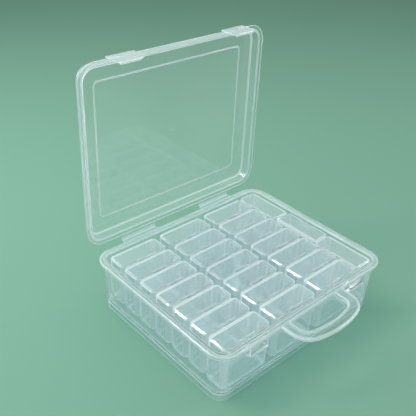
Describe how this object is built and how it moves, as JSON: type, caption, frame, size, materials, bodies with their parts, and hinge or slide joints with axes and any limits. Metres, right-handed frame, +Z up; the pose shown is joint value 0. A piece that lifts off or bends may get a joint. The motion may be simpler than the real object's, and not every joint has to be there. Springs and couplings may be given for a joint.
{
  "type": "sewing box with trays",
  "caption": "Clear plastic carrying case with a hinged lid, two snap latches and a fixed handle, holding rows of small lift-out lidded boxes for beads and sewing findings.",
  "frame": {"origin": "on the table plane, under the middle of the whole object's box with the lid open, 8 mm in front of the middle of the case body", "axes": "+X to the right along the hinge, +Y from the handle side towards the hinge, +Z up"},
  "size_m": [0.224, 0.2377, 0.2508],
  "materials": {
    "clear_case": "clear, slightly milky moulded polypropylene, glossy with soft bright edges",
    "clear_box": "clear, slightly milky moulded polypropylene, thin-walled"
  },
  "bodies": {
    "base": {"case_base": "clear_case", "strap_left_base": "clear_case", "strap_right_base": "clear_case"},
    "lid": {"case_lid": "clear_case", "strap_left_lid": "clear_case", "strap_right_lid": "clear_case"},
    "latch_left": {"latch_left": "clear_case"},
    "latch_right": {"latch_right": "clear_case"},
    "box_a1": {"box_a1": "clear_box"},
    "box_a1_lid": {"box_a1_lid": "clear_box"},
    "box_a2": {"box_a2": "clear_box"},
    "box_a2_lid": {"box_a2_lid": "clear_box"},
    "box_a3": {"box_a3": "clear_box"},
    "box_a3_lid": {"box_a3_lid": "clear_box"},
    "box_a4": {"box_a4": "clear_box"},
    "box_a4_lid": {"box_a4_lid": "clear_box"},
    "box_a5": {"box_a5": "clear_box"},
    "box_a5_lid": {"box_a5_lid": "clear_box"},
    "box_a6": {"box_a6": "clear_box"},
    "box_a6_lid": {"box_a6_lid": "clear_box"},
    "box_a7": {"box_a7": "clear_box"},
    "box_a7_lid": {"box_a7_lid": "clear_box"},
    "box_b1": {"box_b1": "clear_box"},
    "box_b1_lid": {"box_b1_lid": "clear_box"},
    "box_b2": {"box_b2": "clear_box"},
    "box_b2_lid": {"box_b2_lid": "clear_box"},
    "box_b3": {"box_b3": "clear_box"},
    "box_b3_lid": {"box_b3_lid": "clear_box"},
    "box_b4": {"box_b4": "clear_box"},
    "box_b4_lid": {"box_b4_lid": "clear_box"},
    "box_b5": {"box_b5": "clear_box"},
    "box_b5_lid": {"box_b5_lid": "clear_box"},
    "box_b6": {"box_b6": "clear_box"},
    "box_b6_lid": {"box_b6_lid": "clear_box"},
    "box_b7": {"box_b7": "clear_box"},
    "box_b7_lid": {"box_b7_lid": "clear_box"},
    "box_c1": {"box_c1": "clear_box"},
    "box_c1_lid": {"box_c1_lid": "clear_box"},
    "box_c2": {"box_c2": "clear_box"},
    "box_c2_lid": {"box_c2_lid": "clear_box"},
    "box_c3": {"box_c3": "clear_box"},
    "box_c3_lid": {"box_c3_lid": "clear_box"},
    "box_c4": {"box_c4": "clear_box"},
    "box_c4_lid": {"box_c4_lid": "clear_box"},
    "box_c5": {"box_c5": "clear_box"},
    "box_c5_lid": {"box_c5_lid": "clear_box"},
    "box_c6": {"box_c6": "clear_box"},
    "box_c6_lid": {"box_c6_lid": "clear_box"},
    "box_c7": {"box_c7": "clear_box"},
    "box_c7_lid": {"box_c7_lid": "clear_box"},
    "box_d1": {"box_d1": "clear_box"},
    "box_d1_lid": {"box_d1_lid": "clear_box"},
    "box_d2": {"box_d2": "clear_box"},
    "box_d2_lid": {"box_d2_lid": "clear_box"},
    "box_d3": {"box_d3": "clear_box"},
    "box_d3_lid": {"box_d3_lid": "clear_box"}
  },
  "joints": [
    {"name": "lid_hinge", "type": "hinge", "parent": "base", "child": "lid", "pos_m": [0, 0.10595, 0.058], "axis": [-1, 0, 0], "range_deg": [-90, 75]},
    {"name": "latch_left_flex", "type": "hinge", "parent": "lid", "child": "latch_left", "pos_m": [-0.0675, 0.10725, 0.249], "axis": [-1, 0, 0], "range_deg": [0, 18]},
    {"name": "latch_right_flex", "type": "hinge", "parent": "lid", "child": "latch_right", "pos_m": [0.0675, 0.10725, 0.249], "axis": [-1, 0, 0], "range_deg": [0, 18]},
    {"name": "box_a1_lift", "type": "slide", "parent": "base", "child": "box_a1", "axis": [0, 0, 1], "range_m": [0, 0.055]},
    {"name": "box_a1_lid_hinge", "type": "hinge", "parent": "box_a1", "child": "box_a1_lid", "pos_m": [-0.07183, 0.09067, 0.0569], "axis": [-1, 0, 0], "range_deg": [0, 105]},
    {"name": "box_a2_lift", "type": "slide", "parent": "base", "child": "box_a2", "axis": [0, 0, 1], "range_m": [0, 0.055]},
    {"name": "box_a2_lid_hinge", "type": "hinge", "parent": "box_a2", "child": "box_a2_lid", "pos_m": [-0.07183, 0.06672, 0.0569], "axis": [-1, 0, 0], "range_deg": [0, 105]},
    {"name": "box_a3_lift", "type": "slide", "parent": "base", "child": "box_a3", "axis": [0, 0, 1], "range_m": [0, 0.055]},
    {"name": "box_a3_lid_hinge", "type": "hinge", "parent": "box_a3", "child": "box_a3_lid", "pos_m": [-0.07183, 0.04277, 0.0569], "axis": [-1, 0, 0], "range_deg": [0, 105]},
    {"name": "box_a4_lift", "type": "slide", "parent": "base", "child": "box_a4", "axis": [0, 0, 1], "range_m": [0, 0.055]},
    {"name": "box_a4_lid_hinge", "type": "hinge", "parent": "box_a4", "child": "box_a4_lid", "pos_m": [-0.07183, 0.01883, 0.0569], "axis": [-1, 0, 0], "range_deg": [0, 105]},
    {"name": "box_a5_lift", "type": "slide", "parent": "base", "child": "box_a5", "axis": [0, 0, 1], "range_m": [0, 0.055]},
    {"name": "box_a5_lid_hinge", "type": "hinge", "parent": "box_a5", "child": "box_a5_lid", "pos_m": [-0.07183, -0.00513, 0.0569], "axis": [-1, 0, 0], "range_deg": [0, 105]},
    {"name": "box_a6_lift", "type": "slide", "parent": "base", "child": "box_a6", "axis": [0, 0, 1], "range_m": [0, 0.055]},
    {"name": "box_a6_lid_hinge", "type": "hinge", "parent": "box_a6", "child": "box_a6_lid", "pos_m": [-0.07183, -0.02907, 0.0569], "axis": [-1, 0, 0], "range_deg": [0, 105]},
    {"name": "box_a7_lift", "type": "slide", "parent": "base", "child": "box_a7", "axis": [0, 0, 1], "range_m": [0, 0.055]},
    {"name": "box_a7_lid_hinge", "type": "hinge", "parent": "box_a7", "child": "box_a7_lid", "pos_m": [-0.07183, -0.05302, 0.0569], "axis": [-1, 0, 0], "range_deg": [0, 105]},
    {"name": "box_b1_lift", "type": "slide", "parent": "base", "child": "box_b1", "axis": [0, 0, 1], "range_m": [0, 0.055]},
    {"name": "box_b1_lid_hinge", "type": "hinge", "parent": "box_b1", "child": "box_b1_lid", "pos_m": [-0.01065, 0.09067, 0.0569], "axis": [-1, 0, 0], "range_deg": [0, 105]},
    {"name": "box_b2_lift", "type": "slide", "parent": "base", "child": "box_b2", "axis": [0, 0, 1], "range_m": [0, 0.055]},
    {"name": "box_b2_lid_hinge", "type": "hinge", "parent": "box_b2", "child": "box_b2_lid", "pos_m": [-0.01065, 0.06672, 0.0569], "axis": [-1, 0, 0], "range_deg": [0, 105]},
    {"name": "box_b3_lift", "type": "slide", "parent": "base", "child": "box_b3", "axis": [0, 0, 1], "range_m": [0, 0.055]},
    {"name": "box_b3_lid_hinge", "type": "hinge", "parent": "box_b3", "child": "box_b3_lid", "pos_m": [-0.01065, 0.04277, 0.0569], "axis": [-1, 0, 0], "range_deg": [0, 105]},
    {"name": "box_b4_lift", "type": "slide", "parent": "base", "child": "box_b4", "axis": [0, 0, 1], "range_m": [0, 0.055]},
    {"name": "box_b4_lid_hinge", "type": "hinge", "parent": "box_b4", "child": "box_b4_lid", "pos_m": [-0.01065, 0.01883, 0.0569], "axis": [-1, 0, 0], "range_deg": [0, 105]},
    {"name": "box_b5_lift", "type": "slide", "parent": "base", "child": "box_b5", "axis": [0, 0, 1], "range_m": [0, 0.055]},
    {"name": "box_b5_lid_hinge", "type": "hinge", "parent": "box_b5", "child": "box_b5_lid", "pos_m": [-0.01065, -0.00513, 0.0569], "axis": [-1, 0, 0], "range_deg": [0, 105]},
    {"name": "box_b6_lift", "type": "slide", "parent": "base", "child": "box_b6", "axis": [0, 0, 1], "range_m": [0, 0.055]},
    {"name": "box_b6_lid_hinge", "type": "hinge", "parent": "box_b6", "child": "box_b6_lid", "pos_m": [-0.01065, -0.02907, 0.0569], "axis": [-1, 0, 0], "range_deg": [0, 105]},
    {"name": "box_b7_lift", "type": "slide", "parent": "base", "child": "box_b7", "axis": [0, 0, 1], "range_m": [0, 0.055]},
    {"name": "box_b7_lid_hinge", "type": "hinge", "parent": "box_b7", "child": "box_b7_lid", "pos_m": [-0.01065, -0.05302, 0.0569], "axis": [-1, 0, 0], "range_deg": [0, 105]},
    {"name": "box_c1_lift", "type": "slide", "parent": "base", "child": "box_c1", "axis": [0, 0, 1], "range_m": [0, 0.055]},
    {"name": "box_c1_lid_hinge", "type": "hinge", "parent": "box_c1", "child": "box_c1_lid", "pos_m": [0.05053, 0.09067, 0.0569], "axis": [-1, 0, 0], "range_deg": [0, 105]},
    {"name": "box_c2_lift", "type": "slide", "parent": "base", "child": "box_c2", "axis": [0, 0, 1], "range_m": [0, 0.055]},
    {"name": "box_c2_lid_hinge", "type": "hinge", "parent": "box_c2", "child": "box_c2_lid", "pos_m": [0.05053, 0.06672, 0.0569], "axis": [-1, 0, 0], "range_deg": [0, 105]},
    {"name": "box_c3_lift", "type": "slide", "parent": "base", "child": "box_c3", "axis": [0, 0, 1], "range_m": [0, 0.055]},
    {"name": "box_c3_lid_hinge", "type": "hinge", "parent": "box_c3", "child": "box_c3_lid", "pos_m": [0.05053, 0.04277, 0.0569], "axis": [-1, 0, 0], "range_deg": [0, 105]},
    {"name": "box_c4_lift", "type": "slide", "parent": "base", "child": "box_c4", "axis": [0, 0, 1], "range_m": [0, 0.055]},
    {"name": "box_c4_lid_hinge", "type": "hinge", "parent": "box_c4", "child": "box_c4_lid", "pos_m": [0.05053, 0.01883, 0.0569], "axis": [-1, 0, 0], "range_deg": [0, 105]},
    {"name": "box_c5_lift", "type": "slide", "parent": "base", "child": "box_c5", "axis": [0, 0, 1], "range_m": [0, 0.055]},
    {"name": "box_c5_lid_hinge", "type": "hinge", "parent": "box_c5", "child": "box_c5_lid", "pos_m": [0.05053, -0.00513, 0.0569], "axis": [-1, 0, 0], "range_deg": [0, 105]},
    {"name": "box_c6_lift", "type": "slide", "parent": "base", "child": "box_c6", "axis": [0, 0, 1], "range_m": [0, 0.055]},
    {"name": "box_c6_lid_hinge", "type": "hinge", "parent": "box_c6", "child": "box_c6_lid", "pos_m": [0.05053, -0.02907, 0.0569], "axis": [-1, 0, 0], "range_deg": [0, 105]},
    {"name": "box_c7_lift", "type": "slide", "parent": "base", "child": "box_c7", "axis": [0, 0, 1], "range_m": [0, 0.055]},
    {"name": "box_c7_lid_hinge", "type": "hinge", "parent": "box_c7", "child": "box_c7_lid", "pos_m": [0.05053, -0.05302, 0.0569], "axis": [-1, 0, 0], "range_deg": [0, 105]},
    {"name": "box_d1_lift", "type": "slide", "parent": "base", "child": "box_d1", "axis": [0, 0, 1], "range_m": [0, 0.055]},
    {"name": "box_d1_lid_hinge", "type": "hinge", "parent": "box_d1", "child": "box_d1_lid", "pos_m": [0.10152, 0.06403, 0.0569], "axis": [0, 1, 0], "range_deg": [0, 105]},
    {"name": "box_d2_lift", "type": "slide", "parent": "base", "child": "box_d2", "axis": [0, 0, 1], "range_m": [0, 0.09]},
    {"name": "box_d2_lid_hinge", "type": "hinge", "parent": "box_d2", "child": "box_d2_lid", "pos_m": [0.08017, 0.00815, 0.0569], "axis": [0, -1, 0], "range_deg": [0, 105]},
    {"name": "box_d3_lift", "type": "slide", "parent": "base", "child": "box_d3", "axis": [0, 0, 1], "range_m": [0, 0.055]},
    {"name": "box_d3_lid_hinge", "type": "hinge", "parent": "box_d3", "child": "box_d3_lid", "pos_m": [0.10152, -0.04773, 0.0569], "axis": [0, 1, 0], "range_deg": [0, 105]}
  ]
}
